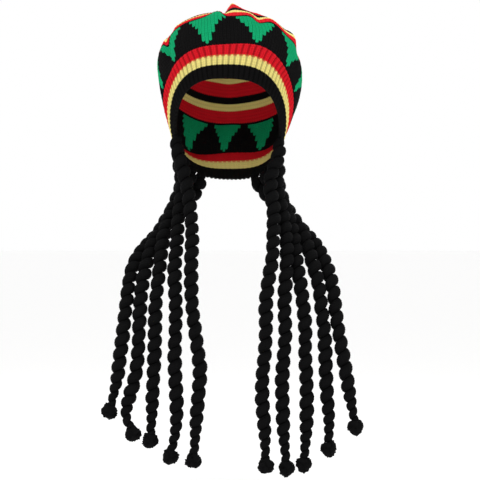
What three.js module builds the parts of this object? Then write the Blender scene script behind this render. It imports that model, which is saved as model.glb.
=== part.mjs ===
// Knitted tam with a ribbed three-colour band, a zigzag field, a striped gathered top
// and ten twisted locks, each ending in a knot.
// Millimetres, +Z up, the front faces -Y. The origin is the centre of the head opening.
import * as THREE from "three";

// Driving sizes of the cap
const RIM_WIDTH = 147;
const RIM_DEPTH = 208;
const CROWN_WIDTH = 201;
const CROWN_DEPTH = 236;
const CROWN_RISE = 133;
const CROWN_SETBACK = 55;
const RIM_TILT = 38.5;
const APEX_TILT = 29.5;
const CORNER_FULLNESS = 0.05;

// Heights of the yarn bands, measured along the knit from the rim upwards
const HEM_HEIGHT = 20;
const YELLOW_HEIGHT = 13;
const RED_HEIGHT = 17;
const FIELD_HEIGHT = 46;
const RED_STRIPE_HEIGHT = 14;
const YELLOW_STRIPE_HEIGHT = 8;
const TOP_HEIGHT = 96;

// Knit
const KNIT_WALL = 3;
const KNIT_COLUMNS = 56;
const FRONT_CLOSENESS = 0.3;
const RIB_DEPTH = 1.6;
const RIB_COUNT = 77;
const SEAM_GAP = 0.3;
const FOLD_HEIGHT = 9;
const PLEAT_COUNT = 11;
const PLEAT_DEPTH = 4;

// Zigzag field
const TRIANGLE_COUNT = 11;
const TRIANGLE_BASE_SHARE = 0.93;
const TRIANGLE_TIP_SHARE = 0.075;
const TIP_MARGIN = 4.5;
const BASE_MARGIN = 3.5;
const PANEL_GAP = 0.6;
const EDGE_SLOPE = 1.3;
const PANEL_COLUMNS = 6;
const GROUND_COLUMNS = 3;
const FIELD_ROWS = 3;
const TOP_ROWS = 6;

// Locks and their knots
const LOCK_DIAMETER = 16;
const LOCK_SIDES = 8;
const LOCK_STEP_DIAMETERS = 2.1;
const LEAD_DIAMETERS = 0.6;
const KNOT_DIAMETER = 23;
const KNOT_LENGTH = 21;
const KNOT_SIDES = 10;

const YARN = {
  black: { color: "#131212", roughness: 0.95, metalness: 0 },
  red: { color: "#d3142a", roughness: 0.95, metalness: 0 },
  yellow: { color: "#f7e88c", roughness: 0.95, metalness: 0 },
  green: { color: "#12a06a", roughness: 0.95, metalness: 0 },
  lock: { color: "#0c0c0c", roughness: 0.98, metalness: 0 },
};

const BAND_HEIGHT = HEM_HEIGHT + YELLOW_HEIGHT + RED_HEIGHT;
const CROWN_TOP_LENGTH = RED_STRIPE_HEIGHT + YELLOW_STRIPE_HEIGHT + TOP_HEIGHT;
const FIELD_TOP = BAND_HEIGHT + FIELD_HEIGHT;
const MERIDIAN = FIELD_TOP + CROWN_TOP_LENGTH;

// Drift of the knit round the cap, in degrees, at the tips and at the bases of the triangles: a plain turn
// and waves that go once, twice and three times round.
const WALE_DRIFT = {
  tips: { turn: 4, once: -3.5, twice: 3, thrice: 5.1 },
  bases: { turn: 1.5, once: 8, twice: -1, thrice: 0 },
};

// Sections from the rim to the top of the zigzag field.
// zone: height of the row inside its zone; wide and deep: the way from the rim to the full crown;
// back: share of the crown setback; up: share of the crown rise; tilt: the way from rim to apex tilt;
// roll: degrees down on the right; shift: sideways; sag: drop of both sides; arch: fullness at brow and nape.
const LOWER_SECTIONS = [
  {
    zone: "band", along: 0, wide: 0, deep: 0, back: 0, up: 0,
    tilt: 0, roll: 1.4, shift: -1.6, sag: 0, arch: 0.09,
  },
  { zone: "band", along: 0.4, wide: 0.235, deep: 0.42, back: 0.1, up: 0.121, tilt: 0.08,
    roll: 0.8, shift: -1.6, sag: 4, arch: 0.1 },
  { zone: "band", along: 0.7, wide: 0.4, deep: 0.66, back: 0.18, up: 0.225, tilt: 0.16,
    roll: -1.3, shift: -1.7, sag: 6, arch: 0.125 },
  { zone: "band", along: 1, wide: 0.63, deep: 0.86, back: 0.27, up: 0.313, tilt: 0.22,
    roll: -2.4, shift: -1.9, sag: 10, arch: 0.15 },
  { zone: "field", along: 0.28, wide: 0.87, deep: 1, back: 0.35, up: 0.43, tilt: 0.28,
    roll: -1, shift: -1, sag: 6, arch: 0.11 },
  { zone: "field", along: 0.55, wide: 1, deep: 1.04, back: 0.42, up: 0.52, tilt: 0.34,
    roll: 1, shift: 0, sag: 3, arch: 0.07 },
  { zone: "field", along: 1, wide: 0.94, deep: 0.93, back: 0.54, up: 0.63, tilt: 0.42,
    roll: 1.2, shift: 0, sag: 0, arch: 0.045 },
];
// Sections of the gathered top. wide and deep: shares of the crown width and depth.
const UPPER_SECTIONS = [
  { along: 0.14, wide: 0.92, deep: 0.9, back: 0.65, up: 0.735, tilt: 0.52 },
  { along: 0.29, wide: 0.8, deep: 0.775, back: 0.76, up: 0.83, tilt: 0.62 },
  { along: 0.46, wide: 0.635, deep: 0.612, back: 0.88, up: 0.915, tilt: 0.76 },
  { along: 0.63, wide: 0.45, deep: 0.43, back: 0.955, up: 0.97, tilt: 0.84 },
  { along: 0.8, wide: 0.255, deep: 0.242, back: 0.99, up: 1, tilt: 0.92 },
  { along: 0.92, wide: 0.115, deep: 0.11, back: 1, up: 1, tilt: 1 },
  { along: 1, wide: 0, deep: 0, back: 1, up: 0.985, tilt: 1 },
];
const TOP_ROLL = 0.5;
const TOP_ARCH = 0.045;

// Folds of the slack knit. angle: degrees from the front towards +X; from and to: shares of the meridian;
// left and right: half widths in degrees; height: share of the fold height, dents below zero;
// lean: degrees of drift from the lower to the upper end.
const FOLDS = [
  { name: "apex ridge", angle: 6, from: 0.48, to: 1, left: 6, right: 16, height: 1.4, lean: -4 },
  { name: "valley by the ridge", angle: -4, from: 0.4, to: 0.9, left: 6, right: 4, height: -0.75, lean: -6 },
  { name: "left bump", angle: -9, from: 0.28, to: 0.52, left: 8, right: 4, height: 1.3, lean: 2 },
  { name: "small bump, right", angle: 15, from: 0.3, to: 0.56, left: 7, right: 7, height: 0.4, lean: 0 },
  { name: "right dip", angle: 23, from: 0.32, to: 0.62, left: 5, right: 5, height: -0.5, lean: 2 },
  { name: "second bump, right", angle: 31, from: 0.3, to: 0.6, left: 6, right: 9, height: 0.4, lean: 4 },
  { name: "left hollow", angle: -45, from: 0.5, to: 0.95, left: 22, right: 22, height: -0.5, lean: 0 },
  { name: "left tuck, lower", angle: -58, from: 0.2, to: 0.42, left: 7, right: 5, height: -0.7, lean: 8 },
  { name: "left tuck, upper", angle: -50, from: 0.4, to: 0.6, left: 6, right: 4, height: -1, lean: -6 },
  { name: "right fold step", angle: 52, from: 0.3, to: 0.75, left: 6, right: 6, height: 0.55, lean: 16 },
  { name: "right fold hollow", angle: 62, from: 0.3, to: 0.7, left: 7, right: 7, height: -0.35, lean: 16 },
  { name: "left ear pull", angle: -108, from: 0.1, to: 0.54, left: 22, right: 22, height: -1.2, lean: 0 },
  { name: "right ear pull", angle: 110, from: 0.15, to: 0.6, left: 20, right: 20, height: -0.2, lean: 0 },
  { name: "slouch, left", angle: 158, from: 0.2, to: 0.62, left: 16, right: 16, height: 0.5, lean: 10 },
  { name: "back crease", angle: 178, from: 0.22, to: 0.7, left: 9, right: 9, height: -0.55, lean: 0 },
  { name: "slouch, right", angle: -160, from: 0.2, to: 0.62, left: 16, right: 16, height: 0.5, lean: -10 },
];

// Routes of the locks: where each leaves the rim, then the points that it hangs through, down to its knot.
// left_5 and right_1 hang nearest the middle.
const LOCK_ROUTES = [
  {
    name: "left_1",
    angle: -148,
    points: [
      [-45, 57, -78], [-56, 54, -97], [-78, 45, -121], [-97, 29, -140], [-112, 10, -156],
      [-123, -9, -171], [-131, -24, -188], [-135, -36, -207], [-137.5, -45, -229], [-140, -52, -252],
      [-142.5, -57, -279], [-146, -60, -306], [-149, -61, -331], [-153.5, -60, -352], [-158, -58, -370],
    ],
  },
  {
    name: "left_2",
    angle: -136,
    points: [
      [-57, 45, -70], [-71, 37, -95], [-85, 24, -119], [-97, 7, -140], [-105.5, -11, -158],
      [-110.5, -26, -177], [-115, -39, -198], [-118, -48, -220], [-119.5, -54, -244], [-120.5, -59, -271],
      [-121.5, -61, -298], [-124, -62, -324],
      [-129.5, -62, -348], [-136, -63, -370], [-137.5, -64, -386], [-132, -65, -400],
    ],
  },
  {
    name: "left_3",
    angle: -124,
    points: [
      [-64, 31, -60], [-69, 23, -81], [-76, 14, -102], [-83.5, 1, -124], [-88.5, -14, -144],
      [-91.5, -28, -164], [-93.5, -41, -187], [-96, -51, -211], [-98.5, -57, -239], [-99, -61, -268],
      [-99.5, -63, -300], [-101, -63, -332], [-102.5, -62, -362], [-103.5, -61, -388], [-105, -60, -409],
    ],
  },
  {
    name: "left_4",
    angle: -112,
    points: [
      [-68, 14, -50], [-65, 6, -72], [-66, -3, -95], [-69, -14, -118], [-70, -27, -140],
      [-71, -40, -162], [-73, -50, -186], [-72.5, -58, -212], [-71, -63, -240], [-71.5, -66, -272],
      [-72.5, -67, -304], [-71.5, -67, -336], [-70, -66, -366], [-71, -65, -402], [-76.5, -64, -430],
    ],
  },
  {
    name: "left_5",
    angle: -100,
    points: [
      [-68, -3, -38], [-61.5, -10, -60], [-56.5, -17, -82], [-53, -25, -104], [-50.5, -36, -128],
      [-49.5, -47, -150], [-50.5, -56, -176], [-50.5, -62, -204], [-49.5, -66, -234], [-46, -69, -264],
      [-42, -70, -294], [-38.5, -70, -324], [-40.5, -69, -354], [-43.5, -68, -390], [-46.6, -67, -435],
    ],
  },
  {
    name: "right_1",
    angle: 100,
    points: [
      [67, -3, -38], [58, -10, -60], [56.5, -17, -82], [60, -25, -104], [60.5, -36, -128],
      [59.5, -47, -150], [58, -56, -176], [53, -62, -204], [49.5, -66, -234], [49.5, -69, -264],
      [48, -70, -300], [44.8, -70, -332], [44.5, -69, -364], [47.5, -68, -402], [49, -67, -442],
    ],
  },
  {
    name: "right_2",
    angle: 112,
    points: [
      [68, 14, -50], [66, 6, -72], [69, -3, -95], [74, -14, -120], [77, -28, -142],
      [78, -41, -164], [77.5, -51, -187], [75.5, -58, -213], [74.3, -63, -242], [75.5, -66, -274],
      [73, -67, -308], [71, -67, -340], [71.8, -66, -371], [73, -65, -407], [76.4, -64, -446],
    ],
  },
  {
    name: "right_3",
    angle: 124,
    points: [
      [65, 31, -60], [70, 23, -80], [76, 14, -102], [83, 1, -124], [88, -14, -144],
      [90.5, -28, -165], [93, -41, -187], [96.5, -51, -212], [100, -57, -240], [102.4, -61, -272],
      [102, -63, -302], [103.5, -63, -332], [104.2, -62, -364], [103.6, -61, -402], [101, -60, -441],
    ],
  },
  {
    name: "right_4",
    angle: 136,
    points: [
      [58, 45, -70], [72, 37, -94], [87, 24, -116], [98, 8, -134], [105, -9, -152],
      [111, -24, -172], [116.6, -37, -193], [121.5, -47, -215], [124, -54, -241], [127.5, -58, -269],
      [129, -60, -298], [129.8, -61, -328], [131.3, -61, -358], [134, -60, -388], [133.6, -60, -420],
    ],
  },
  {
    name: "right_5",
    angle: 148,
    points: [
      [46, 57, -78], [60, 55, -96], [82, 47, -117], [100, 32, -134], [113.5, 13, -149],
      [123.5, -5, -164], [131, -21, -181], [137, -34, -200], [141.3, -44, -222], [144, -52, -249],
      [148, -57, -277], [153, -60, -305], [157.5, -61, -332], [162.5, -60, -362], [168, -59, -391],
    ],
  },
];

// Shape of the cap

const radians = THREE.MathUtils.degToRad;
const lerp = THREE.MathUtils.lerp;

const SECTIONS = [
  ...LOWER_SECTIONS.map((row) => ({
    at: row.zone === "band" ? BAND_HEIGHT * row.along : BAND_HEIGHT + FIELD_HEIGHT * row.along,
    halfWidth: lerp(RIM_WIDTH, CROWN_WIDTH, row.wide) / 2,
    halfDepth: lerp(RIM_DEPTH, CROWN_DEPTH, row.deep) / 2,
    back: CROWN_SETBACK * row.back,
    up: CROWN_RISE * row.up,
    tilt: lerp(RIM_TILT, APEX_TILT, row.tilt),
    roll: row.roll,
    shift: row.shift,
    sag: row.sag,
    arch: row.arch,
  })),
  ...UPPER_SECTIONS.map((row) => ({
    at: FIELD_TOP + CROWN_TOP_LENGTH * row.along,
    halfWidth: (CROWN_WIDTH * row.wide) / 2,
    halfDepth: (CROWN_DEPTH * row.deep) / 2,
    back: CROWN_SETBACK * row.back,
    up: CROWN_RISE * row.up,
    tilt: lerp(RIM_TILT, APEX_TILT, row.tilt),
    roll: TOP_ROLL,
    shift: 0,
    sag: 0,
    arch: TOP_ARCH,
  })),
];

// Slope of one column at row i, for a smooth curve through all rows.
function slopeAt(column, i) {
  const before = SECTIONS[Math.max(i - 1, 0)];
  const after = SECTIONS[Math.min(i + 1, SECTIONS.length - 1)];
  return (after[column] - before[column]) / (after.at - before.at);
}

// Value of one column at a height along the knit, a cubic between the rows around it.
function sectionValue(column, height) {
  const last = SECTIONS.length - 2;
  const found = SECTIONS.findIndex((row, i) => i > 0 && height <= row.at) - 1;
  const i = found < 0 ? (height <= 0 ? 0 : last) : found;
  const low = SECTIONS[i];
  const high = SECTIONS[i + 1];
  const span = high.at - low.at;
  const t = THREE.MathUtils.clamp((height - low.at) / span, 0, 1);
  const rise = 3 * t * t - 2 * t * t * t;
  const leave = t * (1 - t) * (1 - t) * span;
  const arrive = t * t * (t - 1) * span;
  const blend = lerp(low[column], high[column], rise);
  return blend + leave * slopeAt(column, i) + arrive * slopeAt(column, i + 1);
}

// Point of the smooth cap without folds. angle in degrees from the front towards +X.
function basePoint(angle, height) {
  const turn = radians(angle);
  const corner = Math.sin(2 * turn) ** 2;
  const across = sectionValue("halfWidth", height) * Math.sin(turn) * (1 + CORNER_FULLNESS * corner);
  const fullness = 1 + sectionValue("arch", height) * corner;
  const along = -sectionValue("halfDepth", height) * Math.cos(turn) * fullness;
  const tilt = radians(sectionValue("tilt", height));
  const roll = radians(sectionValue("roll", height));
  const drop = across * Math.sin(roll) + sectionValue("sag", height) * Math.sin(turn) ** 2;
  return new THREE.Vector3(
    sectionValue("shift", height) + across * Math.cos(roll),
    sectionValue("back", height) + along * Math.cos(tilt),
    sectionValue("up", height) - along * Math.sin(tilt) - drop,
  );
}

// Outward direction of the smooth cap.
function baseNormal(angle, height) {
  const lower = Math.max(Math.min(height, MERIDIAN - 3) - 1, 0);
  const round = basePoint(angle + 1, lower + 1).sub(basePoint(angle - 1, lower + 1));
  const upward = basePoint(angle, lower + 2).sub(basePoint(angle, lower));
  return round.cross(upward).normalize();
}

// Angle between two directions, -180 to 180 degrees.
function angleBetween(angle, centre) {
  return THREE.MathUtils.euclideanModulo(angle - centre + 180, 360) - 180;
}

// How far the knit stands out at a point, from the folds and the gathered pleats.
function foldHeight(angle, height) {
  const share = height / MERIDIAN;
  let out = 0;
  for (const fold of FOLDS) {
    const t = (share - fold.from) / (fold.to - fold.from);
    if (t <= 0 || t >= 1) continue;
    const away = angleBetween(angle, fold.angle + fold.lean * t);
    const off = away / (away < 0 ? fold.left : fold.right);
    out += fold.height * FOLD_HEIGHT * Math.sin(Math.PI * t) ** 2 * Math.exp(-off * off);
  }
  const drawnIn = THREE.MathUtils.smoothstep(share, 0.5, 0.82);
  const gather = drawnIn * (1 - THREE.MathUtils.smoothstep(share, 0.86, 1));
  return out + PLEAT_DEPTH * gather * Math.cos(radians(PLEAT_COUNT * angle + 40 * Math.sin(radians(angle))));
}

// Point of the real cap. depth is measured inwards from the outer face.
function capPoint(angle, height, depth) {
  const out = foldHeight(angle, height) - depth;
  return basePoint(angle, height).addScaledVector(baseNormal(angle, height), out);
}

// Angle on the cap of a wale that would sit at an even spacing if the knit were not stretched.
function drifted(even, height) {
  const turn = radians(even);
  const wave = (drift) =>
    drift.turn +
    drift.once * Math.sin(turn) +
    drift.twice * Math.sin(2 * turn) +
    drift.thrice * Math.sin(3 * turn);
  const room = FIELD_HEIGHT - TIP_MARGIN - BASE_MARGIN;
  const rise = THREE.MathUtils.clamp((height - BAND_HEIGHT - TIP_MARGIN) / room, 0, 1);
  return even + lerp(wave(WALE_DRIFT.tips), wave(WALE_DRIFT.bases), rise);
}

// Columns of the smooth rings stand closer together at the front, where the folds are.
function frontward(even) {
  return even - THREE.MathUtils.radToDeg(FRONT_CLOSENESS) * Math.sin(radians(even));
}

// Depth of the rib valleys, one rib crest in every two columns.
function ribDepth(column) {
  return column % 2 === 0 ? 0 : RIB_DEPTH;
}

// Solids

// A closed ring or dome of knit. profile: rows of { height, inner }; shape places one row at one column.
function turned(profile, columns, place) {
  const outline = profile.map((row, i) => new THREE.Vector2(row.onAxis ? 0 : 1, i));
  const geometry = new THREE.LatheGeometry(outline, columns);
  const position = geometry.getAttribute("position");
  for (let column = 0; column <= columns; column++) {
    const turn = column % columns;
    profile.forEach((row, i) => {
      const point = place((360 * turn) / columns, row, turn);
      position.setXYZ(column * profile.length + i, point.x, point.y, point.z);
    });
  }
  return geometry;
}

// Rows of a closed wall from one height to another: down the inner face and up the outer face.
function wallProfile(bottom, top, rows) {
  const heights = Array.from({ length: rows + 1 }, (_, i) => lerp(bottom, top, i / rows));
  const outer = heights.map((height) => ({ height, inner: false }));
  const inner = heights.map((height) => ({ height, inner: true })).reverse();
  return [...outer, ...inner, outer[0]];
}

const placeSmooth = (even, row) => capPoint(frontward(even), row.height, row.inner ? KNIT_WALL : 0);
const placeRibbed = (even, row, column) =>
  capPoint(drifted(even, row.height), row.height, row.inner ? KNIT_WALL + RIB_DEPTH : ribDepth(column));

function ribbedRing(bottom, top) {
  return turned(wallProfile(bottom + SEAM_GAP / 2, top - SEAM_GAP / 2, 1), 2 * RIB_COUNT, placeRibbed);
}

function knitRing(bottom, top, rows) {
  return turned(wallProfile(bottom + SEAM_GAP / 2, top - SEAM_GAP / 2, rows), KNIT_COLUMNS, placeSmooth);
}

// Point under the gathered centre, where every pleat meets.
function apexPoint(depth) {
  const tilt = radians(APEX_TILT);
  const axis = new THREE.Vector3(0, Math.sin(tilt), Math.cos(tilt));
  return basePoint(0, MERIDIAN).addScaledVector(axis, -depth);
}

// The top closes on the apex outside and inside, and is open below.
function gatheredTop(bottom, rows) {
  const outer = Array.from({ length: rows + 1 }, (_, i) => ({
    height: lerp(bottom + SEAM_GAP / 2, MERIDIAN, i / rows),
    inner: false,
    onAxis: i === rows,
  }));
  const inner = outer.map((row) => ({ ...row, inner: true })).reverse();
  const place = (angle, row) => (row.onAxis ? apexPoint(row.inner ? KNIT_WALL : 0) : placeSmooth(angle, row));
  return turned([...inner, ...outer], KNIT_COLUMNS, place);
}

// Zigzag field: black ground with green triangles that point down

const REPEAT_COLUMNS = PANEL_COLUMNS + GROUND_COLUMNS;

// Height of a row of corners: 0 at the band, 1 at the tips, FIELD_ROWS + 1 at the bases, then the field's top.
function fieldHeight(row, grow) {
  if (row === 0) return BAND_HEIGHT + SEAM_GAP / 2;
  if (row === FIELD_ROWS + 2) return FIELD_TOP - SEAM_GAP / 2;
  return lerp(BAND_HEIGHT + TIP_MARGIN - grow, FIELD_TOP - BASE_MARGIN + grow, (row - 1) / FIELD_ROWS);
}

// Corner of the field. column: 0 to PANEL_COLUMNS across a triangle, then across the ground to the next one;
// grow: how far the triangle's edges are moved out.
function fieldPoint(column, row, grow, depth) {
  const pitch = 360 / TRIANGLE_COUNT;
  const centre = (Math.floor(column / REPEAT_COLUMNS) + 0.5) * pitch;
  const place = column % REPEAT_COLUMNS;
  const height = fieldHeight(row, grow);
  const rise = THREE.MathUtils.clamp((row - 1) / FIELD_ROWS, 0, 1);
  const triangleShare = lerp(TRIANGLE_TIP_SHARE, TRIANGLE_BASE_SHARE, rise);
  const share = row === 0 ? PANEL_COLUMNS / REPEAT_COLUMNS : triangleShare;
  const radius = (sectionValue("halfWidth", height) + sectionValue("halfDepth", height)) / 2;
  const half = (pitch * share) / 2 + THREE.MathUtils.radToDeg((grow * EDGE_SLOPE) / radius);
  const even =
    place <= PANEL_COLUMNS
      ? centre + half * ((2 * place) / PANEL_COLUMNS - 1)
      : lerp(centre + half, centre + pitch - half, (place - PANEL_COLUMNS) / GROUND_COLUMNS);
  return capPoint(drifted(even, height), height, depth);
}

// One triangle between its two edges, from its tip to its base.
function trianglePanel(index) {
  const geometry = new THREE.BoxGeometry(1, 1, 1, PANEL_COLUMNS, FIELD_ROWS, 1);
  const position = geometry.getAttribute("position");
  for (let i = 0; i < position.count; i++) {
    const column = index * REPEAT_COLUMNS + Math.round((position.getX(i) + 0.5) * PANEL_COLUMNS);
    const row = 1 + Math.round((position.getY(i) + 0.5) * FIELD_ROWS);
    const depth = KNIT_WALL * (0.5 - position.getZ(i));
    const point = fieldPoint(column, row, -PANEL_GAP / 2, depth);
    position.setXYZ(i, point.x, point.y, point.z);
  }
  return geometry;
}

// The ground is a closed wall round the cap, left out where a triangle sits.
function zigzagGround() {
  const columns = TRIANGLE_COUNT * REPEAT_COLUMNS;
  const isGround = (column, row) => {
    if (row < 0 || row > FIELD_ROWS + 1) return false;
    const place = THREE.MathUtils.euclideanModulo(column, REPEAT_COLUMNS);
    return row === 0 || row === FIELD_ROWS + 1 || place >= PANEL_COLUMNS;
  };
  const points = [];
  const numbers = new Map();
  const corner = (column, row, depth) => {
    const key = [column % columns, row, depth].join();
    if (!numbers.has(key)) {
      numbers.set(key, points.length);
      points.push(fieldPoint(column % columns, row, PANEL_GAP / 2, depth));
    }
    return numbers.get(key);
  };
  const index = [];
  const addQuad = (a, b, c, d) => index.push(a, b, c, a, c, d);
  const addSide = ([fromColumn, fromRow], [toColumn, toRow]) => {
    const from = corner(fromColumn, fromRow, 0);
    const to = corner(toColumn, toRow, 0);
    addQuad(to, from, corner(fromColumn, fromRow, KNIT_WALL), corner(toColumn, toRow, KNIT_WALL));
  };
  for (let row = 0; row <= FIELD_ROWS + 1; row++) {
    for (let column = 0; column < columns; column++) {
      if (!isGround(column, row)) continue;
      const ends = [[column, row], [column + 1, row], [column + 1, row + 1], [column, row + 1]];
      addQuad(...ends.map(([x, y]) => corner(x, y, 0)));
      addQuad(...ends.map(([x, y]) => corner(x, y, KNIT_WALL)).reverse());
      if (!isGround(column, row - 1)) addSide(ends[0], ends[1]);
      if (!isGround(column + 1, row)) addSide(ends[1], ends[2]);
      if (!isGround(column, row + 1)) addSide(ends[2], ends[3]);
      if (!isGround(column - 1, row)) addSide(ends[3], ends[0]);
    }
  }
  const geometry = new THREE.BufferGeometry().setFromPoints(points);
  geometry.setIndex(index);
  return geometry;
}

// Locks

// Direction straight out of the rim, across its tilted and rolled plane.
function rimDown() {
  const tilt = radians(RIM_TILT);
  const roll = radians(sectionValue("roll", 0));
  const across = new THREE.Vector3(Math.cos(roll), 0, -Math.sin(roll));
  const back = new THREE.Vector3(0, Math.cos(tilt), -Math.sin(tilt));
  return back.cross(across).normalize();
}

// Seat of a lock: under the hem, clear of the lowest part of the edge that it meets.
function lockSeat(angle) {
  const wall = KNIT_WALL + RIB_DEPTH;
  const reach = THREE.MathUtils.radToDeg(LOCK_DIAMETER / RIM_WIDTH);
  let lowest = -Infinity;
  for (const off of [-1, -0.5, 0, 0.5, 1]) {
    for (const depth of [0, wall]) {
      lowest = Math.max(lowest, capPoint(angle + off * reach, 0, depth).dot(rimDown()));
    }
  }
  const seat = capPoint(angle, 0, wall / 2);
  return seat.addScaledVector(rimDown(), lowest + SEAM_GAP / 2 - seat.dot(rimDown()));
}

// Centre line of a lock, from its seat under the hem to its knot.
function lockPath(route) {
  const seat = lockSeat(route.angle);
  const lead = seat.clone().addScaledVector(rimDown(), LOCK_DIAMETER * LEAD_DIAMETERS);
  return new THREE.CatmullRomCurve3([seat, lead, ...route.points.map((p) => new THREE.Vector3(...p))]);
}

function lockTube(path) {
  const section = new THREE.Shape();
  for (let i = 0; i < LOCK_SIDES; i++) {
    const turn = (2 * Math.PI * i) / LOCK_SIDES;
    const x = (LOCK_DIAMETER / 2) * Math.cos(turn);
    const y = (LOCK_DIAMETER / 2) * Math.sin(turn);
    if (i === 0) section.moveTo(x, y);
    else section.lineTo(x, y);
  }
  section.closePath();
  const steps = Math.round(path.getLength() / (LOCK_DIAMETER * LOCK_STEP_DIAMETERS));
  return new THREE.ExtrudeGeometry(section, { steps, extrudePath: path, curveSegments: 1 });
}

// Round gathered knot on the end of a lock. along: share of the length; round: share of the diameter.
const KNOT_OUTLINE = [
  { along: 0.0, round: 0.0 },
  { along: 0.0, round: 0.46 },
  { along: 0.16, round: 0.84 },
  { along: 0.45, round: 1.0 },
  { along: 0.74, round: 0.9 },
  { along: 0.94, round: 0.52 },
  { along: 0.9, round: 0.0 },
];

function knotSolid(path) {
  const outline = KNOT_OUTLINE.map(
    (row) => new THREE.Vector2((row.round * KNOT_DIAMETER) / 2, -row.along * KNOT_LENGTH),
  ).reverse();
  const geometry = new THREE.LatheGeometry(outline, KNOT_SIDES);
  const end = path.getPoint(1);
  const heading = path.getTangent(1);
  const turn = new THREE.Quaternion().setFromUnitVectors(new THREE.Vector3(0, -1, 0), heading);
  geometry.applyQuaternion(turn);
  const place = end.addScaledVector(heading, SEAM_GAP);
  geometry.translate(place.x, place.y, place.z);
  return geometry;
}

// Assembly

const group = new THREE.Group();
function addPiece(name, geometry, yarn) {
  const mesh = new THREE.Mesh(geometry, new THREE.MeshStandardMaterial(yarn));
  mesh.name = name;
  group.add(mesh);
}

const redStripeTop = FIELD_TOP + RED_STRIPE_HEIGHT;
const yellowStripeTop = redStripeTop + YELLOW_STRIPE_HEIGHT;

addPiece("hem_black", ribbedRing(0, HEM_HEIGHT), YARN.black);
addPiece("band_yellow", ribbedRing(HEM_HEIGHT, HEM_HEIGHT + YELLOW_HEIGHT), YARN.yellow);
addPiece("band_red", ribbedRing(HEM_HEIGHT + YELLOW_HEIGHT, BAND_HEIGHT), YARN.red);
addPiece("zigzag_field", zigzagGround(), YARN.black);
for (let i = 0; i < TRIANGLE_COUNT; i++) {
  addPiece("green_triangle_" + String(i + 1).padStart(2, "0"), trianglePanel(i), YARN.green);
}
addPiece("stripe_red", knitRing(FIELD_TOP, redStripeTop, 1), YARN.red);
addPiece("stripe_yellow", knitRing(redStripeTop, yellowStripeTop, 1), YARN.yellow);
addPiece("gathered_top", gatheredTop(yellowStripeTop, TOP_ROWS), YARN.black);
for (const route of LOCK_ROUTES) {
  const path = lockPath(route);
  addPiece("lock_" + route.name, lockTube(path), YARN.lock);
  addPiece("knot_" + route.name, knotSolid(path), YARN.lock);
}

export default group;
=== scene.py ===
import math
from functools import partial

import bpy
import numpy as np
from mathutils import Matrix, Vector


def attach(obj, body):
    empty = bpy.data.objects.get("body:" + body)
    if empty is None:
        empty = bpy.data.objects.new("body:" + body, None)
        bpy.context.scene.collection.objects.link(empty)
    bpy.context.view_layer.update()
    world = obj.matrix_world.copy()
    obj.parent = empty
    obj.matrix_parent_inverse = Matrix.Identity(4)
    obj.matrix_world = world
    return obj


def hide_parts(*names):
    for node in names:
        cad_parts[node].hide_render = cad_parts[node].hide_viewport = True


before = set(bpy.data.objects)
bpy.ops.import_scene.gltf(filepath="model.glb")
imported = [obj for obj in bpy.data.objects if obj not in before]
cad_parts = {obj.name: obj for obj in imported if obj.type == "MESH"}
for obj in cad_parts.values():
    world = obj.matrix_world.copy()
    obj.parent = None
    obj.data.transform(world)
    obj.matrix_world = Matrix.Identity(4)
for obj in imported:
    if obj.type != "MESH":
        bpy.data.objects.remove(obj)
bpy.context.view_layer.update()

bl_info = {
    "name": "Rasta tam with locks",
    "version": (1, 0, 0),
    "blender": (4, 5, 0),
    "location": "3D View > Sidebar > Tam",
    "description": "Knits a slouchy striped tam and hangs twisted locks from its rim",
    "category": "Object",
}

MM = 0.001
BODY = "root"

# Sizes of the cap in millimetres and degrees, as the solids have them
RIM_WIDTH, RIM_DEPTH = 147, 208
CROWN_WIDTH, CROWN_DEPTH = 201, 236
CROWN_RISE, CROWN_SETBACK = 133, 55
RIM_TILT, RIM_ROLL, APEX_TILT = 38.5, 1.4, 29.5
CORNER_FULLNESS = 0.05
BAND_HEIGHT = 50
HEM_HEIGHT = 20
FIELD_HEIGHT = 46
FIELD_TOP = BAND_HEIGHT + FIELD_HEIGHT
CROWN_TOP_LENGTH = 118
MERIDIAN = FIELD_TOP + CROWN_TOP_LENGTH
KNIT_WALL = 3.0
FOLD_HEIGHT = 9
PLEAT_COUNT, PLEAT_DEPTH = 11, 4
# Unevenness of the pleats in degrees, and shares of the meridian where they start and end
PLEAT_SWAY = 40
PLEAT_STARTS = (0.5, 0.82)
PLEAT_ENDS = (0.86, 1)

# Heights of the triangles, and how much of the wales' drift is left at the hem
TRIANGLE_TIP = BAND_HEIGHT + 4.5
TRIANGLE_HEIGHT = FIELD_HEIGHT - 8
HEM_DRIFT = 0.45
# Drift of the wales round the cap in degrees, at the tips of the triangles and at their bases:
# an even turn, then waves that go once, twice and three times round
TIP_DRIFT = (4, -3.5, 3, 5.1)
BASE_DRIFT = (1.5, 8, -1, 0)

# Wales round the crown, points across a wale and points up a row
WALES, ACROSS, UPWARD = 154, 6, 3
# Triangles round the cap, wales of one repeat of the zigzag, wales and rows of a triangle
TRIANGLES, REPEAT_WALES, TRIANGLE_WALES, TRIANGLE_ROWS = 11, 14, 11, 14

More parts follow.
